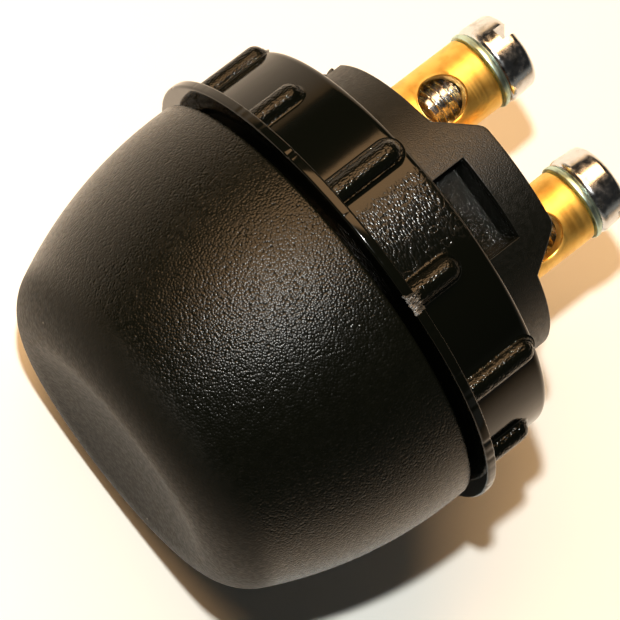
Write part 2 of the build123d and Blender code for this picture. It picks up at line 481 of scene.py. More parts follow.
@dataclass(frozen=True)
class GlossPlastic(Finish):
    """Gloss black plastic, as on the nut.

    One panel is worn by pits and swirl scratches half way between its ribs and smooth beside them, and the
    ribs are stippled. The ribs rise from body_r over rib_edge, and their feet end over foot_edge.
    """

    black: Colour = (0.0016, 0.0020, 0.0013)
    scuff: Colour = (0.05, 0.045, 0.038)
    roughness: float = 0.11
    refraction: float = 1.265
    ripple_grain: float = 420.0
    ripple: float = 0.012
    worn_turn: float = -9.0
    worn_spread: float = 10.2
    worn_fade_rad: float = 0.03
    worn_roughness: float = 0.08
    grain: float = 6600.0
    pits: float = 0.22
    stretch: float = 2.4
    body_r: float = 18.1
    rib_edge: Pair = (0.03, 0.1)
    foot_edge: Pair = (0.2, 0.3)
    stipple_grain: float = 4300.0
    stipple: float = 0.2
    stipple_y: float = 0.6
    stipple_fade: float = 0.4
    swirl_grain: float = 700.0
    swirl_bend: float = 0.6
    scratch_width: float = 0.035
    scratches: float = 0.009
    scratch_tint: float = 0.1

    def dress(self, g: Graph) -> None:
        """Adds the finish's nodes to the tree of its material.

        Args:
            g: the tree.
        """
        off = g.math("ABSOLUTE", g.math("SUBTRACT", g.turn(), float(np.radians(self.worn_turn))))
        edge = float(np.radians(self.worn_spread))
        panel = g.remap(off, edge - self.worn_fade_rad, edge + self.worn_fade_rad, 1.0, 0.0)
        height = g.radius()
        raised = g.remap(height, *((self.body_r + step) * MM for step in self.rib_edge))
        pitted = g.math("MULTIPLY", panel, g.math("SUBTRACT", 1.0, raised))
        behind = g.remap(g.along(), self.stipple_y * MM, (self.stipple_y + self.stipple_fade) * MM)
        raised = g.math("MULTIPLY", raised, behind)
        low = g.remap(height, *((self.body_r + step) * MM for step in self.foot_edge), 1.0, 0.0)
        foot = g.math("MULTIPLY", raised, low)
        swirl = g.noise(self.swirl_grain, 2.0, self.swirl_bend)
        swirl = g.math("ABSOLUTE", g.math("SUBTRACT", swirl, 0.5))
        scratch = g.remap(swirl, 0.0, self.scratch_width, 1.0, 0.0)
        normal = g.bump(g.noise(self.ripple_grain), self.ripple)
        normal = g.pebbles(self.grain, self.pits, pitted, normal, self.stretch)
        normal = g.pebbles(self.stipple_grain, self.stipple, raised, normal)
        normal = g.pebbles(self.grain, self.pits, foot, normal)
        normal = g.bump(scratch, self.scratches, pitted, normal)
        marks = g.math("MULTIPLY", g.math("MULTIPLY", scratch, pitted), self.scratch_tint)
        colour = g.mix(marks, self.black, self.scuff)
        rough = g.math("ADD", g.math("MULTIPLY", pitted, self.worn_roughness), self.roughness)
        g.shade(Base_Color=colour, Roughness=rough, IOR=self.refraction, Normal=normal)


@dataclass(frozen=True)
class MattPlastic(Finish):
    """Matt plastic with a fine uneven texture, as on the plunger and the torn flash."""

    dark: Colour = (0.56, 0.52, 0.42)
    pale: Colour = (0.66, 0.62, 0.52)
    mottle_grain: float = 700.0
    roughness: float = 0.42
    rough_spread: float = 0.06
    rough_grain: float = 1500.0
    grain: float = 2400.0
    relief: float = 0.008

    def dress(self, g: Graph) -> None:
        """Adds the finish's nodes to the tree of its material.

        Args:
            g: the tree.
        """
        colour = g.mix(g.noise(self.mottle_grain, 3.0), self.dark, self.pale)
        rough = g.uneven(g.noise(self.rough_grain), self.roughness, self.rough_spread, self.rough_spread)
        normal = g.bump(g.noise(self.grain, 3.0), self.relief)
        g.shade(Base_Color=colour, Roughness=rough, Normal=normal)


@dataclass(frozen=True)
class TurnedMetal(Finish):
    """Metal with the fine rings of a lathe and a soft stretch of its highlights along the axis."""

    tone: Colour = (0.86, 0.55, 0.13)
    stain: Colour = (0.72, 0.41, 0.08)
    stain_grain: float = 650.0
    stain_edge: Pair = (0.42, 0.72)
    roughness: float = 0.40
    smoother: float = 0.03
    rougher: float = 0.05
    rings: float = 0.0006
    ring_grain: Place = (60.0, 5200.0, 60.0)
    stretch: float = 0.35

    def dress(self, g: Graph) -> None:
        """Adds the finish's nodes to the tree of its material.

        Args:
            g: the tree.
        """
        ring = g.noise(1.0, 4.0, 0.0, g.scaled(*self.ring_grain))
        colour = g.mix(g.remap(g.noise(self.stain_grain, 3.0), *self.stain_edge), self.tone, self.stain)
        g.shade(
            Base_Color=colour,
            Metallic=1.0,
            Roughness=g.uneven(ring, self.roughness, self.smoother, self.rougher),
            Anisotropic=self.stretch,
            Tangent=g.add("ShaderNodeTangent", direction_type="RADIAL", axis="Y").outputs[0],
            Normal=g.bump(ring, self.rings),
        )


@dataclass(frozen=True)
class PlatedMetal(Finish):
    """Plated steel with small dents and stains."""

    tone: Colour = (0.62, 0.64, 0.66)
    stain: Colour = (0.38, 0.38, 0.35)
    stain_grain: float = 900.0
    stain_edge: Pair = (0.5, 0.72)
    roughness: float = 0.19
    smoother: float = 0.05
    rougher: float = 0.09
    rough_grain: float = 1900.0
    dents: float = 0.004
    dent_grain: float = 1300.0

    def dress(self, g: Graph) -> None:
        """Adds the finish's nodes to the tree of its material.

        Args:
            g: the tree.
        """
        colour = g.mix(g.remap(g.noise(self.stain_grain, 4.0), *self.stain_edge), self.tone, self.stain)
        rough = g.uneven(g.noise(self.rough_grain), self.roughness, self.smoother, self.rougher)
        normal = g.bump(g.noise(self.dent_grain, 3.0), self.dents)
        g.shade(Base_Color=colour, Metallic=1.0, Roughness=rough, Normal=normal)


@dataclass(frozen=True)
class Laminate(Finish):
    """Brown paper laminate with faint fibres."""

    dark: Colour = (0.075, 0.030, 0.012)
    pale: Colour = (0.14, 0.062, 0.026)
    roughness: float = 0.42
    fibre_grain: Place = (700.0, 700.0, 3200.0)
    fibre_bend: float = 0.6
    relief: float = 0.006

    def dress(self, g: Graph) -> None:
        """Adds the finish's nodes to the tree of its material.

        Args:
            g: the tree.
        """
        fibres = g.noise(1.0, 3.0, self.fibre_bend, g.scaled(*self.fibre_grain))
        colour = g.mix(fibres, self.dark, self.pale)
        g.shade(Base_Color=colour, Roughness=self.roughness, Normal=g.bump(fibres, self.relief))


@dataclass(frozen=True)
class SheetPaper(Finish):
    """Plain white paper, faintly uneven in tone."""

    white: Colour = (0.88, 0.88, 0.84)
    shaded: float = 0.985
    grain: float = 90.0
    roughness: float = 0.9
    gloss: float = 0.1

    def dress(self, g: Graph) -> None:
        """Adds the finish's nodes to the tree of its material.

        Args:
            g: the tree.
        """
        tone = g.mix(g.noise(self.grain), self.white, tuple(self.shaded * part for part in self.white))
        g.shade(Base_Color=tone, Roughness=self.roughness, Specular_IOR_Level=self.gloss)


FINISHES = {
    "cap_plastic": PebbledPlastic(),
    "nut_plastic": GlossPlastic(),
    "torn_plastic": MattPlastic(
        dark=(0.004, 0.004, 0.003), pale=(0.035, 0.035, 0.03), roughness=0.45, grain=3200.0, relief=0.02
    ),
    "base_plastic": PebbledPlastic(
        roughness=0.42,
        refraction=1.355,
        grain=9000.0,
        slope=0.14,
        dust_limit=0.70,
        coarse_r=13.3,
        coarse_grain=1.8,
        coarse_roughness=-0.26,
    ),
    "plunger_plastic": MattPlastic(),
    "plate_laminate": Laminate(),
    "brass": TurnedMetal(),
    "plated_steel": PlatedMetal(),
    "washer_steel": PlatedMetal(tone=(0.48, 0.62, 0.52), stain=(0.26, 0.34, 0.28), roughness=0.36),
    "spring_steel": TurnedMetal(
        tone=(0.42, 0.42, 0.43), stain=(0.30, 0.29, 0.28), roughness=0.3, rings=0.002, stretch=0.3
    ),
    "contact_metal": PlatedMetal(
        tone=(0.86, 0.85, 0.82), stain=(0.70, 0.68, 0.63), roughness=0.26, dents=0.003
    ),
}


# Cap, nut and base

@dataclass(frozen=True)
class PushCap:
    """Domed cap with a dished end."""

    wall: float = 1.7
    crown_r: float = 35.0
    crown_start: float = 1.15
    shoulder_r: float = 5.2
    dish_angle: float = 14.0
    edge_round: float = 0.3
    seat_r: float = 8.6
    seat_width: float = 2.0
    seat_depth: float = 0.2
    boss_r: float = 5.5
    boss_y: float = -9.5
    hole_r: float = 1.03
    hole_depth: float = 5.1
    outer_rows: int = 52
    inner_rows: int = 16
    edge_rows: int = 7
    columns: int = 260

    def outline(self, box: Extent, inset: float, count: int) -> tuple[Array, Array, Array]:
        """Dish, rim and side as three arcs tangent to each other.

        Args:
            box: box of the CAD cap.
            inset: distance inwards from the outer surface.
            count: points of the dish and of the rim; the side has half as many again.

        Returns:
            The three arcs as points of radius and height, from the axis to the rear edge.
        """
        side = np.array([box.high[0] - self.crown_r, box.high[1] - self.crown_start])
        rim_y = box.low[1] + self.shoulder_r
        reach = self.crown_r - self.shoulder_r
        rim = np.array([side[0] + np.sqrt(reach**2 - (rim_y - side[1]) ** 2), rim_y])
        dish_r = rim[0] / np.sin(np.radians(self.dish_angle)) - self.shoulder_r
        dish_y = rim_y - (dish_r + self.shoulder_r) * np.cos(np.radians(self.dish_angle))
        lean = np.degrees(np.arcsin((side[1] - rim_y) / reach))
        last = np.degrees(np.arcsin((self.crown_start - self.edge_round) / (self.crown_r - inset)))
        return (
            arc((0.0, dish_y), dish_r + inset, 90.0, 90.0 - self.dish_angle, count),
            arc(rim, self.shoulder_r - inset, -90.0 - self.dish_angle, -lean, count),
            arc(side, self.crown_r - inset, -lean, last, count + count // 2),
        )

    def build(self, materials: dict[str, Material]) -> None:
        """Revolves one profile: outside from the axis to the edge, then the inside back to the axis.

        Args:
            materials: materials by slot.
        """
        box = Extent.of("push_cap")
        dish, rim, side = self.outline(box, 0.0, self.outer_rows)
        ceiling, bend, inner = self.outline(box, self.wall, self.inner_rows)
        edge_y, rnd = box.high[1], self.edge_round
        outer_r, inner_r = side[-1, 0], inner[-1, 0]
        seat_out, seat_in = self.seat_r + self.seat_width / 2, self.seat_r - self.seat_width / 2
        top, hole_end = ceiling[0, 1], self.boss_y - self.hole_depth
        section = np.vstack([
            dish,
            rim[1:],
            side[1:],
            arc((outer_r - rnd, edge_y - rnd), rnd, 0.0, 90.0, self.edge_rows)[1:],
            arc((inner_r + rnd, edge_y - rnd), rnd, 90.0, 180.0, self.edge_rows),
            inner[::-1],
            bend[::-1][1:],
            ceiling[ceiling[:, 0] > seat_out][::-1],
            [(seat_out, top), (seat_in, top), (seat_in, top - self.seat_depth)],
            ceiling[(ceiling[:, 0] < seat_in) & (ceiling[:, 0] > self.boss_r)][::-1],
            [(self.boss_r, top), (self.boss_r, self.boss_y), (self.hole_r, self.boss_y)],
            [(self.hole_r, hole_end), (0.0, hole_end)],
        ])
        surface = Surface.revolved(section, self.columns)
        add_piece("cap_dome", surface, materials["cap_plastic"], "button", "push_cap")


@dataclass(frozen=True)
class TornFlash:
    """Scrap of torn flash on the lip of the nut beside a short rib."""

    lip_r: float
    turn: float
    before: float = 2.4
    after: float = 2.6
    front: float = 0.1
    reach: float = 1.2
    end_rad: float = 0.2
    mean_span: float = 0.8
    ragged: float = 0.9
    sunk: float = 0.06
    hang: float = 0.75
    fold: Pair = (0.75, 1.7)
    crease_turn_rad: float = 0.002
    crease_along: float = 0.04
    crease_lift: float = 0.05
    crease_root: float = 0.4
    clear: float = 0.01
    rows: int = 22
    columns: int = 56
    seed: int = 5

    def surface(self) -> Surface:
        """Crumpled sheet with ragged edges.

        It lies on the lip's dented rim and bends down behind it. Its reach over the angle is the root of a
        sine times a smoothed random wave, and random creases lift and shift its points.

        Returns:
            The sheet.
        """
        across = np.linspace(0.0, 1.0, self.rows)[:, None]
        rng = np.random.default_rng(self.seed)
        wave = np.convolve(rng.uniform(-1.0, 1.0, self.columns + 6), np.ones(3) / 3, "same")[3:-3]
        crease = rng.normal(0.0, 1.0, (self.rows, self.columns))
        belly = np.sqrt(np.sin(np.linspace(self.end_rad, np.pi - self.end_rad, self.columns)))
        span = belly * (self.mean_span + self.ragged * wave)
        angle = np.radians(np.linspace(self.turn - self.before, self.turn + self.after, self.columns))
        angle = angle + self.crease_turn_rad * crease
        along = -self.front + (self.front + self.reach * across) * span + self.crease_along * crease
        drop = self.sunk + self.hang * smooth_step(*self.fold, along)
        radius = self.lip_r - drop + self.crease_lift * crease * (self.crease_root + across)
        return Surface.grid(around(np.minimum(radius, self.lip_r - self.clear), angle, along))


@dataclass(frozen=True)
class PanelNut:
    """Flanged ring with twelve grip ribs, long and short by turns, and a dented rim."""

    lip_t: float = 0.85
    lip_round: float = 0.2
    lip_width: float = 1.9
    rear_round: float = 0.6
    bore_r: float = 13.8
    entry: float = 0.6
    root: float = 0.25
    row_gap: float = 0.1
    columns: int = 720
    ribs: int = 12
    rib_width: float = 2.1
    rib_height: float = 1.0
    rib_round: float = 0.96
    rib_flank: float = 165.0
    rib_flat: float = 0.05
    rib_foot: float = 0.3
    rib_sunk: float = 0.05
    rib_start: float = 0.3
    long_margin: float = 0.35
    short_margin: float = 2.3
    turn: float = 4.4
    dents: int = 90
    dent_width: Pair = (0.25, 1.1)
    dent_depth: Pair = (0.008, 0.05)
    dent_limit: float = 0.16
    dent_zone: Pair = (0.5, 0.05)
    dent_seed: int = 11
    oval: float = 0.012
    oval_rad: float = 0.7
    flash_dent: float = 0.14
    flash_dent_width: float = 3.0

    def wear(self, angle: Array) -> Array:
        """Depth that is worn off the rim: a bell curve over the angle for each dent, and a faint oval.

        Args:
            angle: angles about the push axis in radians.

        Returns:
            The depth at each angle.
        """
        rng = np.random.default_rng(self.dent_seed)
        places = rng.uniform(0.0, 2.0 * np.pi, self.dents)
        widths = np.radians(rng.uniform(*self.dent_width, self.dents))
        depths = rng.uniform(*self.dent_depth, self.dents)
        off = np.angle(np.exp(1j * (angle[:, None] - places)))
        worn = (depths * np.exp(-((off / widths) ** 2))).sum(axis=1)
        worn += self.oval * np.sin(2.0 * angle + self.oval_rad)
        off = (angle - np.radians(self.turn)) / np.radians(self.flash_dent_width)
        worn += self.flash_dent * np.exp(-(off**2))
        return np.clip(worn, 0.0, self.dent_limit)

    def ring(self, box: Extent) -> Surface:
        """Closed section turned about the axis, with the wear taken off the radius of the lip's rim only.

        Args:
            box: box of the CAD nut.

        Returns:
            The ring.
        """
        lip_r, length = box.high[0], box.high[1]
        body_r, rnd, rear, gap = lip_r - self.lip_width, self.lip_round, self.rear_round, self.row_gap
        section = np.vstack([
            run((self.bore_r, 0.0), (lip_r - rnd - gap, 0.0), 8),
            arc((lip_r - rnd, rnd), rnd, -90.0, 0.0, 6),
            arc((lip_r - rnd, self.lip_t - rnd), rnd, 0.0, 90.0, 6),
            arc((body_r + self.root, self.lip_t + self.root), self.root, -90.0, -180.0, 6),
            run((body_r, self.lip_t + self.root + gap), (body_r, length - rear - gap / 2), 40),
            arc((body_r - rear, length - rear), rear, 0.0, 90.0, 10),
            run((body_r - rear - gap, length), (self.bore_r + self.entry, length), 6),
            [(self.bore_r, length - self.entry)],
        ])
        angle = full_circle(self.columns)
        on_rim = smooth_step(lip_r - self.dent_zone[0], lip_r - self.dent_zone[1], section[:, :1])
        points = around(section[:, :1] - on_rim * self.wear(angle), angle, section[:, 1:])
        return Surface.grid(points, close_rows=True, close_columns=True)

    def rib(self, box: Extent, index: int) -> Surface:
        """One rib as a section swept round a stadium plan and wrapped on the ring.

        Across, the section is nearly half a circle: it leaves the ring by a small foot fillet, climbs the
        round flank and ends at the spine. Along, its foot follows one side, the round end and the other side,
        each point moving inwards square to the plan by the section's own distance.

        Args:
            box: box of the CAD nut.
            index: number of the rib; the odd ones are long.

        Returns:
            The rib.
        """
        lip_r, length = box.high[0], box.high[1]
        body_r, half = lip_r - self.lip_width, self.rib_width / 2
        rear = length - (self.long_margin if index % 2 else self.short_margin)
        end = rear - half
        foot, rnd, tall = self.rib_foot, self.rib_round, self.rib_height
        across = np.vstack([
            [(-foot, -self.rib_sunk)],
            arc((-foot, foot), foot, -90.0, 0.0, 7),
            arc((half - self.rib_flat, tall - rnd), rnd, self.rib_flank, 90.0, 15),
            [(half, tall)],
        ])
        sides = np.linspace(self.rib_start, end, 34)
        bend = np.radians(np.linspace(180.0, 0.0, 25))[1:-1]
        spine = np.concatenate([sides, np.full(len(bend), end), sides[::-1]])
        lean = np.concatenate([np.full(len(sides), np.pi), bend, np.zeros(len(sides))])
        inner = half - across[:, :1]
        sideways, along = inner * np.cos(lean), spine + inner * np.sin(lean)
        angle = np.radians(self.turn + 360.0 / self.ribs * index) + sideways / body_r
        return Surface.grid(around(body_r + across[:, 1:], angle, along))

    def build(self, materials: dict[str, Material]) -> None:
        """Makes the ring with its ribs as one piece, and the torn flash as another.

        Args:
            materials: materials by slot.
        """
        box = Extent.of("panel_nut")
        surface = self.ring(box)
        for index in range(self.ribs):
            surface += self.rib(box, index)
        add_piece("nut_ring", surface, materials["nut_plastic"], "base", "panel_nut")
        flash = TornFlash(box.high[0], self.turn).surface()
        add_piece("nut_flash", flash, materials["torn_plastic"], "base", "panel_nut")


@dataclass(frozen=True)
class BaseMoulding:
    """Barrel with key tongues, pockets and thread at its sides, and the bezel and bush in front."""

    barrel_r: float = 13.7
    barrel_y: float = 11.85
    bore_r: float = 9.9
    recess_r: float = 10.4
    ledge_y: float = 8.8
    bezel_t: float = 2.0
    undercut: float = 2.4
    undercut_t: float = 0.8
    bush_r: float = 7.2
    bush_bore_r: float = 5.05
    bush_y: float = 2.0
    tongue_top: float = 9.2
    tongue_foot: float = 14.4
    tongue_soft: float = 0.5
    rim_round: float = 0.14
    pocket_width: float = 7.35
    pocket_floor: float = 11.0
    pocket_front: float = 1.0
    pocket_draft: float = 8.0
    pocket_edge: float = 0.06
    pocket_corner: float = 0.04
    thread_pitch: float = 0.85
    thread_depth: float = 0.34
    thread_phase: float = 0.85
    thread_start: float = 95.0
    thread_begin: float = 0.7
    thread_stop: float = 126.0
    thread_fade: float = 3.0
    relief: float = 9.0
    relief_fade: float = 2.0
    crest: float = 0.06
    slow_flank: float = 0.42
    steep_flank: float = 0.12
    split_y: float = 11.0
    fine_y: float = 7.0
    fine_row: float = 0.06
    sharp: float = 40.0

    @property
    def pocket_steps(self) -> Array:
        """Distances inwards from the pocket's mouth at which its wall needs a row or column, falling.

        Returns:
            The distances.
        """
        foot = (self.barrel_r - self.pocket_floor) * np.tan(np.radians(self.pocket_draft))
        edge = np.array([1.0, 0.6, 0.3, 0.0, -0.3, -0.6, -0.8, -1.0]) * self.pocket_edge
        return np.concatenate([[foot + self.pocket_corner, foot, foot - self.pocket_corner, foot / 2], edge])

    def columns(self) -> Array:
        """Angles of the grid's columns, close at the pocket's walls, the tongue's sides and the thread.

        Returns:
            The angles of one turn in radians.
        """
        wall = self.pocket_width / 2
        spots = np.concatenate([
            np.linspace(0.0, wall - 0.5, 15),
            wall - self.pocket_steps,
            np.linspace(wall + 0.1, self.tongue_foot / 2 + 0.3, 64),
        ])
        start = np.radians(180.0 - self.thread_start - np.array([self.thread_begin, 0.45, 0.2, 0.0]))
        quarter = np.concatenate([
            np.arcsin(spots / self.barrel_r),
            np.linspace(np.arcsin((self.tongue_foot / 2 + 0.45) / self.barrel_r), start[0] - 0.005, 50),
            start,
            [np.pi / 2],
        ])
        half = np.concatenate([quarter, np.pi - quarter[::-1][1:]])
        return np.concatenate([half, 2.0 * np.pi - half[::-1][1:-1]])

    def rim(self, x: Array, top: float) -> Array:
        """Height of the barrel's rim: flat tongue tops with sloping sides and softened corners.

        Args:
            x: sideways places.
            top: height of the tongues.

        Returns:
            The height at each place.
        """
        slope = (top - self.barrel_y) / (self.tongue_foot - self.tongue_top) * 2.0
        side = top - (np.abs(x) - self.tongue_top / 2) * slope
        near = np.maximum(self.tongue_soft - np.abs(side - top), 0.0) / self.tongue_soft
        return np.maximum(np.minimum(side, top) - near**2 * self.tongue_soft / 4, self.barrel_y)

    def section(self, box: Extent, turn: Array) -> tuple[Array, Array]:
        """Closed section over the angle, whose rim follows the tongues.

        It climbs inside the bush and the bore, goes over the rim and down the barrel's wall, and round the
        bezel. Down to split_y the wall's rows share out the height below the rim, and from there on they are
        level.

        Args:
            box: box of the CAD base.
            turn: angles of the columns in radians.

        Returns:
            Radius and height of every row at every column.
        """
        top, bezel_r, front = box.high[1], box.high[0], box.low[1]
        rnd, split = self.rim_round, self.split_y
        inside = np.array([
            (self.bush_bore_r, front),
            (self.bush_bore_r, self.bush_y),
            (self.bush_r, self.bush_y),
            (self.bush_r, 0.0),
            (self.bore_r, 0.0),
            (self.bore_r, self.ledge_y),
            (self.recess_r, self.ledge_y),
        ])
        over = np.vstack([
            arc((self.recess_r + rnd, -rnd), rnd, 180.0, 90.0, 5),
            arc((self.barrel_r - rnd, -rnd), rnd, 90.0, 0.0, 6),
        ])
        tall = top - rnd - split
        end = (self.barrel_y - split) / tall
        shares = np.concatenate([
            np.linspace(1.0, end + 0.03, 16)[1:],
            end - self.pocket_steps[::-1] / tall,
            np.linspace(end - 0.45 / tall, 0.0, 8),
        ])
        lower = np.concatenate([
            np.arange(split - self.fine_row, self.fine_y, -self.fine_row),
            np.linspace(6.9, 1.6, 10),
            self.pocket_front + self.pocket_steps,
        ])
        bezel = np.array([
            (self.barrel_r, 0.0),
            (bezel_r - self.undercut, 0.0),
            (bezel_r - self.undercut, -self.undercut_t),
            (bezel_r, -self.undercut_t),
            (bezel_r, -self.bezel_t),
            (self.bush_r, -self.bezel_t),
            (self.bush_r, front),
        ])
        wall = np.full(len(shares) + len(lower), self.barrel_r)
        wall_top = self.rim(self.barrel_r * np.sin(turn), top) - rnd
        spread = np.zeros(len(turn))
        radius = np.concatenate([inside[:, 0], over[:, 0], wall, bezel[:, 0]])[:, None] + spread
        along = np.vstack([
            inside[:, 1:] + spread,
            self.rim(over[:, :1] * np.sin(turn), top) + over[:, 1:],
            split + (wall_top - split) * shares[:, None],
            lower[:, None] + spread,
            bezel[:, 1:] + spread,
        ])
        return radius, along

    def build(self, materials: dict[str, Material]) -> None:
        """Cuts the thread into the section's outer wall and presses the pockets into it.

        Args:
            materials: materials by slot.
        """
        turn = self.columns()
        radius, along = self.section(Extent.of("base_moulding"), turn)
        wall = (np.abs(radius - self.barrel_r) < NEAR) & (along > 0.0)
        rim_r = self.barrel_r - self.rim_round
        outside = (radius > rim_r - NEAR) & (radius < self.barrel_r + NEAR) & (along > 0.0)
        radius = np.where(outside, np.minimum(radius, self.barrel_r - self.groove(turn, along)), radius)
        points = around(radius, turn, along)
        points[..., 2] = np.where(wall, self.sunk(points), points[..., 2])
        surface = Surface.grid(points, close_rows=True, close_columns=True)
        plastic = materials["base_plastic"]
        add_piece("base_barrel", surface, plastic, "base", "base_moulding", self.sharp)

    def groove(self, turn: Array, along: Array) -> Array:
        """Depth of the thread over angle and height, none away from the barrel's two sides.

        It is a wave of the height less the pitch times the turn. Over one pitch it grows along a slow flank,
        keeps its depth for a while and ends at a steep flank. A relief as deep as the thread lies beside its
        start, so that the teeth have plain ends.

        Args:
            turn: angles of the columns in radians.
            along: heights of every row at every column.

        Returns:
            The depth at every row and column.
        """
        side = np.degrees(np.abs(np.angle(np.exp(1j * turn))))
        begun = smooth_step(self.thread_start, self.thread_start + self.thread_begin, side)
        window = begun * (1.0 - smooth_step(self.thread_stop - self.thread_fade, self.thread_stop, side))
        foot = self.thread_start - self.relief
        relief = smooth_step(foot, foot + self.relief_fade, side) * (1.0 - begun)
        wound = (along - self.barrel_y) / self.thread_pitch - turn / (2.0 * np.pi)
        phase = (wound + self.thread_phase) % 1.0
        slow = np.clip((phase - self.crest) / self.slow_flank, 0.0, 1.0)
        steep = np.clip((1.0 - phase) / self.steep_flank, 0.0, 1.0)
        return self.thread_depth * (window * (slow * steep) + relief)

    def sunk(self, points: Array) -> Array:
        """Z of the outer wall's points after the pockets are pressed in.

        The drop grows with the distance inside the mouth at the slope of the draft, starting along a parabola
        that rounds the mouth's edge, and stops at the floor.

        Args:
            points: places of the wall's points.

        Returns:
            Their new Z.
        """
        x, y, z = np.moveaxis(points, -1, 0)
        ends = np.minimum(self.barrel_y - y, y - self.pocket_front)
        inside = np.minimum(self.pocket_width / 2 - np.abs(x), ends)
        edge = self.pocket_edge
        grown = np.where(inside > edge, inside, np.clip(inside + edge, 0.0, None) ** 2 / (4.0 * edge))
        drop = grown / np.tan(np.radians(self.pocket_draft))
        level = np.maximum(np.abs(z) - drop, np.minimum(np.abs(z), self.pocket_floor))
        return np.sign(z) * np.where(inside > -edge, level, np.abs(z))


# Terminals

class Side(Enum):
    """The two terminals, each with its label and the turns of its wire hole and of its screw slot."""

    LEFT = ("left", -8.0, 58.0)
    RIGHT = ("right", 0.0, -32.0)

    def __init__(self, label: str, hole_turn: float, slot_turn: float) -> None:
        """Names the values of a member.

        Args:
            label: ending of its names.
            hole_turn: turn of the wire hole.
            slot_turn: turn of the screw slot.
        """
        self.label = label
        self.hole_turn = hole_turn
        self.slot_turn = slot_turn


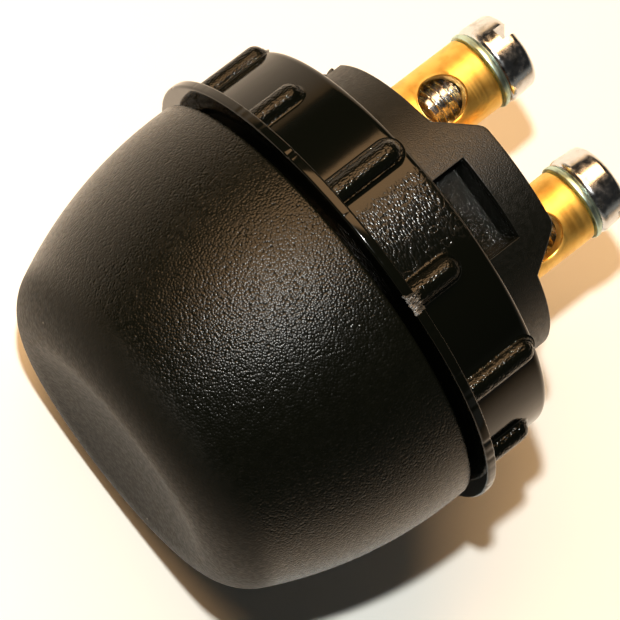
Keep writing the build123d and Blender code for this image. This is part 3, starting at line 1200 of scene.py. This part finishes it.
@dataclass(frozen=True)
class Terminal:
    """Brass pillar, plain washer and slotted cheese-head screw."""

    side: Side
    chamfer: float = 0.3
    foot_y: float = 10.8
    stud_r: float = 1.5
    stud_columns: int = 48
    hole_r: float = 1.95
    hole_drop: float = 4.65
    hole_columns: int = 60
    bore_r: float = 2.05
    bore_floor: float = 13.4
    drill_point: float = 0.5
    burr: float = 0.05
    shank_r: float = 2.0
    shank_columns: int = 72
    pitch: float = 0.7
    thread_depth: float = 0.38
    thread_steep: float = 1.3
    thread_crest: float = 0.12
    thread_row: float = 0.045
    tip_chamfer: float = 0.5
    head_foot: float = 0.6
    head_taper: float = 4.0
    head_round: float = 0.55
    head_columns: int = 144
    row_gap: float = 0.1
    fine_gap: float = 0.02
    slot_width: float = 1.2
    slot_depth: float = 1.2
    slot_edge: float = 0.04
    slot_points: int = 73
    washer_bore_r: float = 2.1
    washer_round: float = 0.15
    washer_columns: int = 120

    def node(self, part: str) -> str:
        """Name of a CAD node of this terminal."""
        return f"terminal_{part}_{self.side.label}"

    @property
    def place(self) -> float:
        """Sideways place of the terminal's axis."""
        return Extent.of(self.node("post")).middle_x

    def build(self, materials: dict[str, Material]) -> None:
        """Makes the three pieces.

        Args:
            materials: materials by slot.
        """
        label = self.side.label
        for name, part, surface, body, slot in (
            ("pillar", "post", self.pillar(), "base", "brass"),
            ("washer_ring", "washer", self.washer(), f"washer_{label}", "washer_steel"),
            ("cheese_screw", "screw", self.screw(), f"screw_{label}", "plated_steel"),
        ):
            add_piece(f"{name}_{label}", surface, materials[slot], body, self.node(part))

    def holed_half(
        self, radius: float, ends: Pair, hole_y: float, facing: float, outside: bool
    ) -> tuple[Array, Array]:
        """Half of a tube with the wire hole through it, as a grid from the hole's edge to the half's border.

        Round the hole the parameter is the angle about its axis. Across, the place on the unrolled half runs
        straight from the hole's edge to the border that the same angle meets. On the outside the first rows
        are raised into a thin burr.

        Args:
            radius: radius of the tube.
            ends: heights of its lower and upper end.
            hole_y: height of the hole's axis.
            facing: direction of the hole in radians.
            outside: raise the burr.

        Returns:
            Points of the grid, first row at the hole's edge, and the mask of columns that reach the top.
        """
        low, high = ends
        width = radius * (np.pi / 2)
        rise = np.array([high, high, low, low]) - hole_y
        corners = np.arctan2(rise, np.array([width, -width, -width, width])) % (2.0 * np.pi)
        bounds = np.append(corners, corners[0] + 2.0 * np.pi)
        spans = zip(bounds[:-1], bounds[1:])
        turn = np.concatenate([np.linspace(a, b, self.hole_columns, endpoint=False) for a, b in spans])
        cosine, sine = np.cos(turn), np.sin(turn)
        with np.errstate(divide="ignore"):
            to_end = np.where(sine > 0, high - hole_y, hole_y - low) / np.abs(sine)
            reach = np.minimum(width / np.abs(cosine), to_end)
        border = np.stack([reach * cosine / radius, hole_y + reach * sine], axis=-1)
        burr = np.array([(0.0, -0.06), (0.02, 0.0), (0.05, self.burr), (0.10, self.burr * 0.8), (0.16, 0.0)])
        grow, lift = (burr if outside else np.zeros((1, 2))).T
        size = self.hole_r + grow[:, None]
        loops = np.stack([np.arcsin(np.clip(size * cosine / radius, -1, 1)), hole_y + size * sine], axis=-1)
        share = np.linspace(0.0, 1.0, 16)[1:, None, None]
        flat = np.concatenate([loops, loops[-1] + (border - loops[-1]) * share])
        lift = np.concatenate([lift, np.zeros(len(share))])[:, None]
        points = around(radius + lift, facing + flat[..., 0], flat[..., 1], self.place)
        return points, np.abs(border[:, 1] - high) < NEAR

    def pillar(self) -> Surface:
        """Turned post: two holed halves outside and inside, the wire hole's walls, both ends and the stud.

        Returns:
            The post.
        """
        box = Extent.of(self.node("post"))
        radius, top, foot, cut = box.radius, box.high[1], box.low[1], self.chamfer
        hole_y = top - self.hole_drop
        surface = Surface(np.zeros((0, 3)), np.zeros((0, 4), int))
        rims = []
        for half in (0.0, np.pi):
            facing = np.radians(self.side.hole_turn) + half
            outer, upper = self.holed_half(radius, (self.foot_y, top - cut), hole_y, facing, True)
            inner, _ = self.holed_half(self.bore_r, (self.bore_floor, top), hole_y, facing, False)
            wall = outer[0] + (inner[0] - outer[0]) * np.linspace(0.0, 1.0, 5)[:, None, None]
            for points in (outer, inner, wall):
                surface += Surface.grid(points, close_columns=True)
            rims.append(outer[-1][upper])
        rim = np.concatenate(rims)
        angle = np.arctan2(rim[:, 0] - self.place, rim[:, 2])
        angle = np.unique(np.round(np.sort(angle), 9))
        end = np.array([
            (radius, top - cut),
            (radius - 0.04, top - cut * 0.62),
            (radius - cut * 0.8, top - 0.03),
            (radius - cut - 0.06, top),
            (self.bore_r, top),
        ])
        surface += Surface.grid(around(end[:, :1], angle, end[:, 1:], self.place), close_columns=True)
        stud = np.array([(radius, self.foot_y), (self.stud_r, self.foot_y), (self.stud_r, foot), (0.0, foot)])
        floor = np.array([(self.bore_r, self.bore_floor), (0.0, self.bore_floor - self.drill_point)])
        for section in (stud, floor):
            surface += Surface.revolved(section, self.stud_columns, self.place)
        return surface

    def washer(self) -> Surface:
        """Flat ring with rounded rims.

        Returns:
            The washer.
        """
        box = Extent.of(self.node("washer"))
        radius, low, high, rnd = box.radius, box.low[1], box.high[1], self.washer_round
        section = np.vstack([
            [(self.washer_bore_r, low)],
            arc((radius - rnd, low + rnd), rnd, -90.0, 0.0, 5),
            arc((radius - rnd, high - rnd), rnd, 0.0, 90.0, 5),
            [(self.washer_bore_r, high)],
        ])
        return Surface.revolved(section, self.washer_columns, self.place, closed=True)

    def screw(self) -> Surface:
        """Threaded shank and slotted head.

        Returns:
            The screw.
        """
        box = Extent.of(self.node("screw"))
        seat = Extent.of(self.node("washer")).high[1]
        return self.shank(box.low[1], seat) + self.head(box.radius, seat, box.high[1])

    def shank(self, tip: float, seat: float) -> Surface:
        """Thread as a radius that falls with a triangle wave of the height less the pitch times the turn.

        Args:
            tip: height of the screw's tip.
            seat: height of the head's seat.

        Returns:
            The shank.
        """
        turn = full_circle(self.shank_columns)
        along = np.concatenate([[tip], np.arange(tip + 0.001, seat, self.thread_row), [seat]])[:, None]
        phase = along / self.pitch - turn / (2.0 * np.pi)
        tooth = np.abs((phase % 1.0) * 2.0 - 1.0)
        depth = np.clip(self.thread_steep * (1.0 - tooth) - self.thread_crest, 0.0, 1.0)
        limit = self.shank_r - self.tip_chamfer + (along - tip)
        radius = np.minimum(self.shank_r - self.thread_depth * depth, limit)
        radius[0] = 0.0
        return Surface.grid(around(radius, turn, along, self.place), close_columns=True)

    def head(self, radius: float, seat: float, end: float) -> Surface:
        """Cheese head: a full disc below the slot, an ear on each side of it and the slot's floor.

        Its side leaves the seat by a round edge and leans inwards by the taper.

        Args:
            radius: radius of the head.
            seat: height of its seat.
            end: height of its end.

        Returns:
            The head.
        """
        floor, half, rnd, foot = end - self.slot_depth, self.slot_width / 2, self.head_round, self.head_foot
        gap, fine = self.row_gap, self.fine_gap
        lean = np.tan(np.radians(self.head_taper))
        at_floor = radius - (floor - seat - foot) * lean
        neck = radius - (end - rnd - seat - foot) * lean
        under = np.vstack([
            [(self.shank_r - gap, seat)],
            arc((radius - foot, seat + foot), foot, -90.0, 0.0, 10),
            run((radius - gap * lean, seat + foot + gap), (at_floor, floor), 6),
        ])
        climb = np.vstack([
            run((at_floor, floor), (neck + fine * lean, end - rnd - fine), 6),
            arc((neck - rnd, end - rnd), rnd, 0.0, 90.0, 10),
        ])
        share = np.linspace(-1.0, 1.0, self.slot_points)
        surface = Surface.revolved(under, self.head_columns, self.place)
        along_slot, over_slot, height = self.ear(climb, end, share)
        for sign in (1.0, -1.0):
            surface += Surface.grid(self.across(along_slot, sign * over_slot, height))
        over_slot = np.linspace(-half, half, 5)[:, None]
        along_slot = np.sqrt(at_floor**2 - over_slot**2) * share
        level = np.zeros_like(along_slot)
        return surface + Surface.grid(self.across(along_slot, over_slot + level, floor + level))

    def ear(self, climb: Array, end: float, share: Array) -> tuple[Array, Array, Array]:
        """Ear of the head on one side of the slot, as a grid over the share of its arc and a path.

        The path climbs the side, rounds over, crosses the top to the slot and goes down the slot's wall. At
        every level the arc stops where the slot cuts it.

        Args:
            climb: points of radius and height up the side and over its edge.
            end: height of the head's end.
            share: shares of the arc from -1 to 1.

        Returns:
            Places along the slot, over it and in height.
        """
        half, edge = self.slot_width / 2, self.slot_edge
        spread = share * np.arccos(half / climb[:, :1])
        along_slot, over_slot = climb[:, :1] * np.sin(spread), climb[:, :1] * np.cos(spread)
        to_slot = np.linspace(0.0, 1.0, 7)[1:, None]
        top = over_slot[-1] + (half + edge - over_slot[-1]) * to_slot
        down = climb[::-1]
        drop = np.minimum(down[:, 1:], end - edge)
        scale = np.sqrt(down[:, :1] ** 2 - half**2) / np.abs(along_slot[-1]).max()
        level = np.zeros(len(share))
        return (
            np.vstack([along_slot, np.repeat(along_slot[-1:], len(top), axis=0), along_slot[-1] * scale]),
            np.vstack([over_slot, top, np.full((len(down), len(share)), half)]),
            np.vstack([climb[:, 1:] + level, np.full_like(top, end), drop + level]),
        )

    def across(self, along_slot: Array, over_slot: Array, height: Array) -> Array:
        """Places of points given along the slot, over it and in height.

        Args:
            along_slot: distances from the axis along the slot.
            over_slot: distances from the axis square to the slot.
            height: heights.

        Returns:
            The places.
        """
        turn = np.radians(self.side.slot_turn)
        x = self.place + along_slot * np.cos(turn) + over_slot * np.sin(turn)
        z = -along_slot * np.sin(turn) + over_slot * np.cos(turn)
        return np.stack([x, height, z], axis=-1)


# Studio

@dataclass(frozen=True)
class Lamp:
    """Rectangular area lamp that points at the switch, with its distance and sizes in metres."""

    name: str
    towards: Place
    distance: float
    size: Pair
    power: float
    colour: Colour

    def build(self) -> None:
        """Adds the lamp, its first size being the level one."""
        data = bpy.data.lights.new(self.name, "AREA")
        data.shape = "RECTANGLE"
        data.size, data.size_y = self.size
        data.energy, data.color = self.power, self.colour
        lamp = bpy.data.objects.new(self.name, data)
        direction = Vector(self.towards).normalized()
        lamp.location = direction * self.distance
        lamp.rotation_mode = "QUATERNION"
        lamp.rotation_quaternion = direction.to_track_quat("Z", "Y")
        bpy.context.scene.collection.objects.link(lamp)


@dataclass(frozen=True)
class Studio:
    """White sheet, camera flash, warm room lamp and camera, whose place is in metres."""

    sheet: float = 1500.0
    sheet_slope: float = 0.2
    sheet_bend: float = 30.0
    sheet_gather: float = 5.0
    sheet_rows: int = 161
    horizon: Colour = (0.26, 0.25, 0.22)
    zenith: Colour = (0.02, 0.02, 0.019)
    horizon_tilt: Place = (-0.15, 0.0, 1.0)
    horizon_height: float = 0.25
    camera_place: Place = (-0.03836, -0.06162, 0.24768)
    camera_forward: Place = (0.1503, 0.2335, -0.9607)
    camera_up: Place = (-0.8034, 0.5952, 0.0189)
    lens: float = 191.4
    sensor: float = 36.0
    clip: Pair = (0.01, 10.0)
    lamps: tuple[Lamp, ...] = (
        Lamp("flash", (-0.288, -0.126, 0.9493), 0.263, (0.008, 0.008), 0.76, (1.0, 1.0, 0.95)),
        Lamp("room_lamp", (-0.625, 0.16, 0.765), 0.8, (0.7, 0.46), 9.8, (1.0, 0.59, 0.28)),
    )

    def build(self) -> None:
        """Makes the floor, the world, the lamps and the camera."""
        self.floor()
        self.world()
        for lamp in self.lamps:
            lamp.build()
        self.camera()
        bpy.context.scene.view_settings.view_transform = "Standard"

    def floor(self) -> None:
        """Bent sheet that the lip of the nut and the side of the cap lie on.

        Its height falls along the push axis with the hyperbolic tangent of the distance, so that it slopes
        below the switch and runs level farther off. A hyperbolic sine gathers its rows near the middle.
        """
        gather = self.sheet_gather
        spots = np.sinh(np.linspace(-gather, gather, self.sheet_rows)) / np.sinh(gather) * self.sheet
        x, y = np.meshgrid(spots, spots, indexing="ij")
        level = float(CAD_BOX[0].z) / MM - self.sheet_slope * self.sheet_bend * np.tanh(y / self.sheet_bend)
        surface = Surface.grid(np.stack([x, y, level], axis=-1))
        mesh = bpy.data.meshes.new("sheet")
        mesh.from_pydata((surface.points * MM).tolist(), [], surface.quads.tolist())
        mesh.shade_smooth()
        mesh.materials.append(SheetPaper().build("sheet_paper"))
        sheet = bpy.data.objects.new("sheet", mesh)
        bpy.context.scene.collection.objects.link(sheet)

    def world(self) -> None:
        """Surroundings that are dark but for a low glow, which reaches higher on the right."""
        world = bpy.data.worlds.new("room")
        g = Graph(world, "Background", "Generated")
        inputs = {0: g.place, 1: self.horizon_tilt}
        height = g.add("ShaderNodeVectorMath", inputs, operation="DOT_PRODUCT").outputs["Value"]
        g.shade(Color=g.mix(g.remap(height, 0.0, self.horizon_height), self.horizon, self.zenith))
        bpy.context.scene.world = world

    def camera(self) -> None:
        """Long lens from above, rolled so that the cap points to the lower left."""
        data = bpy.data.cameras.new("camera")
        data.lens, data.sensor_width = self.lens, self.sensor
        data.clip_start, data.clip_end = self.clip
        forward = Vector(self.camera_forward).normalized()
        right = forward.cross(Vector(self.camera_up)).normalized()
        up = right.cross(forward)
        camera = bpy.data.objects.new("camera", data)
        turn = Matrix((right, up, -forward)).transposed().to_4x4()
        camera.matrix_world = Matrix.Translation(self.camera_place) @ turn
        bpy.context.scene.collection.objects.link(camera)
        bpy.context.scene.camera = camera


def main() -> None:
    """Builds the finished pieces, gives the CAD pieces their finishes and sets the stage."""
    logging.basicConfig(level=logging.INFO)
    materials = {slot: finish.build(slot) for slot, finish in FINISHES.items()}
    for part in frame["record"]["subparts"]:
        data = frame["nodes"][part["node"]].data
        data.materials.clear()
        data.materials.append(materials[part["material_slot"]])
    terminals = [Terminal(side) for side in Side]
    for assembly in (PushCap(), PanelNut(), BaseMoulding(), *terminals):
        assembly.build(materials)
    Studio().build()


if __name__ == "__main__":
    main()
